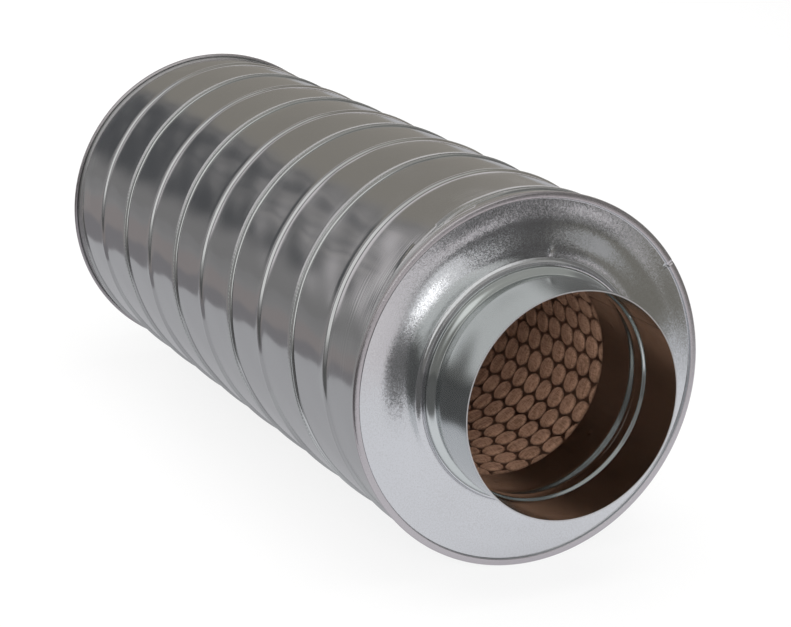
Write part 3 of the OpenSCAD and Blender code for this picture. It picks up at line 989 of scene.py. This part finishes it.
def floor_finish(white, c):
    """Pale paper: mostly plain white where it is seen, with the shadow left in the rest.

    In reflections the paper carries a painted shadow of the object beside it, which makes it dimmer there
    than in front of the object, and it ends along three straight edges. Past the side edge lies a grey
    ground. Past the front edge the ground runs from pale to dark, olive on the far side, with a pale strip
    and a pale fan.
    Past the corner on the near side it is dark, with a bright patch further out.
    """
    material, nodes = new_finish("pale_floor")
    at = nodes.objects_place()
    x, y, _ = nodes.split(at)
    past_side = past_edge(x, y, 244.66, 0.461)
    past_front = past_edge(x, y, 15.55, 0.704)
    past_near = past_edge(x, y, 313.78, 0.484)
    near_part = 1 - nodes.step(y - 0.29 * x, -0.20, -0.16)
    far_part = nodes.step(y - 0.6 * x, -0.14, -0.06)
    patch = nodes.step(x, 1.15, 1.5) * (1 - nodes.step(y - 0.40 * x, -0.20, -0.10))
    patch = patch * nodes.step(y, -0.2, 0.1)
    sheen = nodes.band(y - 0.45 * x, (0.035, 0.06), (0.08, 0.11)) * nodes.band(x, (0.97, 1.03), (1.25, 1.4))
    fan = nodes.step(y - 0.6 * x, -0.05, 0.1) * nodes.step(x, 1.5, 2.4)

    # Painted shadow: in reflections the paper beside the object is dimmed for the object's shadow.
    paper_shade = nodes.mix(nodes.step(x, 0.18, 0.36), c.paper_in_painted_shadow, c.paper_front)
    side_ground = nodes.mix(nodes.step(past_side, 0.2, 0.3), c.side_near, c.side_middle)
    side_ground = nodes.mix(nodes.step(past_side, 0.8, 1.3), side_ground, c.side_far)
    ground = nodes.mix(nodes.step(past_front, 0.36, 0.58), c.ground_pale, c.ground_dark)
    olive = nodes.mix(nodes.step(past_front, 0.03, 0.17), c.olive_pale, c.olive)
    ground = nodes.mix(far_part, ground, olive)
    ground = nodes.mix(sheen, ground, c.sheen)
    ground = nodes.mix(0.8 * fan, ground, c.fan)
    ground = nodes.mix(near_part, ground, c.corner)
    ground = nodes.mix(patch, ground, c.patch)
    mirrored = nodes.mix(nodes.step(past_side, -0.004, 0.012), paper_shade, side_ground)
    off_front = nodes.step(past_front, -0.03, 0.05)
    off_paper = nodes.math("MAXIMUM", off_front, nodes.step(past_near, -0.02, 0.03))
    mirrored = nodes.mix(off_paper, mirrored, ground)

    rays = nodes.node("ShaderNodeLightPath", output="Is Camera Ray")
    glossy = rays.other("Is Glossy Ray")
    shown = nodes.mix(glossy, WHITE, mirrored)
    paper = nodes.node("ShaderNodeBsdfDiffuse", {}, {"Color": rgba(c.paper)})
    light = nodes.node("ShaderNodeEmission", {}, {"Color": shown, "Strength": 1.0})
    part = nodes.math("MAXIMUM", rays * white, glossy * 0.97)
    surface = nodes.node("ShaderNodeMixShader", {}, {0: part, 1: paper, 2: light})
    nodes.node("ShaderNodeOutputMaterial", {}, {"Surface": surface})
    return material


def aim(at, towards):
    """Turn of a camera or a lamp that looks from one point to another."""
    return (Vector(towards) - Vector(at)).to_track_quat("-Z", "Y").to_euler()


def add_area_light(name, at, towards, size, power, mirrored=True):
    """A soft light of that width and height that looks at a point, and is mirrored unless it only fills."""
    data = bpy.data.lights.new(name, "AREA")
    data.shape = "RECTANGLE"
    data.size, data.size_y = size
    data.energy = power
    light = bpy.data.objects.new(name, data)
    light.location = at
    light.visible_camera = False
    light.visible_glossy = mirrored
    light.rotation_euler = aim(at, towards)
    bpy.context.scene.collection.objects.link(light)


class ATTENUATOR_OT_stage(bpy.types.Operator):
    """Set the camera, the floor and the studio light"""

    bl_idname = "attenuator.stage"
    bl_label = "Stage"

    def execute(self, context):
        scene = context.scene
        settings = scene.attenuator
        s = settings.stage
        data = bpy.data.cameras.new("camera")
        data.lens = s.camera_lens
        data.sensor_width = 36.0
        data.clip_end = 100.0
        camera = bpy.data.objects.new("camera", data)
        camera.location = s.camera_at
        camera.rotation_euler = aim(s.camera_at, s.camera_to)
        scene.collection.objects.link(camera)
        scene.camera = camera

        half = s.floor_half
        mesh = bpy.data.meshes.new("floor")
        low = CAD_BOX[0].z
        corners = [(-half, -half, low), (half, -half, low), (half, half, low), (-half, half, low)]
        mesh.from_pydata(corners, [], [(0, 1, 2, 3)])
        mesh.materials.append(floor_finish(s.floor_white, settings.floor))
        floor = bpy.data.objects.new("floor", mesh)
        scene.collection.objects.link(floor)

        add_area_light("overhead_light", (-0.63, -0.90, 1.9), (0, 0, 0), (1.2, 1.2), 7, mirrored=False)
        add_area_light("low_light", (1.62, 0.19, -0.03), (0.3, -0.05, -0.02), (0.18, 0.18), 0.18)
        add_area_light("ceiling_fill", (0.3, 0.2, 2.6), (0, 0, 0), (2.0, 2.0), 50, mirrored=False)
        add_area_light("camera_fill", (1.75, -0.70, 0.66), (0.2, 0, 0), (0.5, 0.5), 14, mirrored=False)
        add_area_light("rear_fill", (-3.0, 0.20, 0.1), (0, 0, 0), (1.2, 0.8), 140, mirrored=False)
        scene.world = bpy.data.worlds.new("studio")
        world_light(scene.world, settings.room)
        scene.view_settings.view_transform = "Standard"
        return {"FINISHED"}


OPERATORS = (
    ATTENUATOR_OT_casing,
    ATTENUATOR_OT_caps,
    ATTENUATOR_OT_spigots,
    ATTENUATOR_OT_packing,
    ATTENUATOR_OT_stage,
)


class ATTENUATOR_PT_sidebar(bpy.types.Panel):
    """Buttons that make the attenuator, piece by piece"""

    bl_idname = "ATTENUATOR_PT_sidebar"
    bl_label = "Duct sound attenuator"
    bl_space_type = "VIEW_3D"
    bl_region_type = "UI"
    bl_category = "Attenuator"

    def draw(self, context):
        for operator in OPERATORS:
            self.layout.operator(operator.bl_idname)


CLASSES = (
    CasingSizes,
    CapSizes,
    SpigotSizes,
    PackingSizes,
    FinishColours,
    RoomColours,
    FloorColours,
    StageSettings,
    AttenuatorSettings,
    *OPERATORS,
    ATTENUATOR_PT_sidebar,
)


def register():
    for cls in CLASSES:
        bpy.utils.register_class(cls)
    bpy.types.Scene.attenuator = PointerProperty(type=AttenuatorSettings)


def unregister():
    del bpy.types.Scene.attenuator
    for cls in reversed(CLASSES):
        bpy.utils.unregister_class(cls)


def main():
    """Makes every piece and the stage."""
    register()
    bpy.ops.attenuator.casing()
    bpy.ops.attenuator.caps()
    bpy.ops.attenuator.spigots()
    bpy.ops.attenuator.packing()
    bpy.ops.attenuator.stage()
    bpy.context.view_layer.update()


if __name__ == "__main__":
    main()
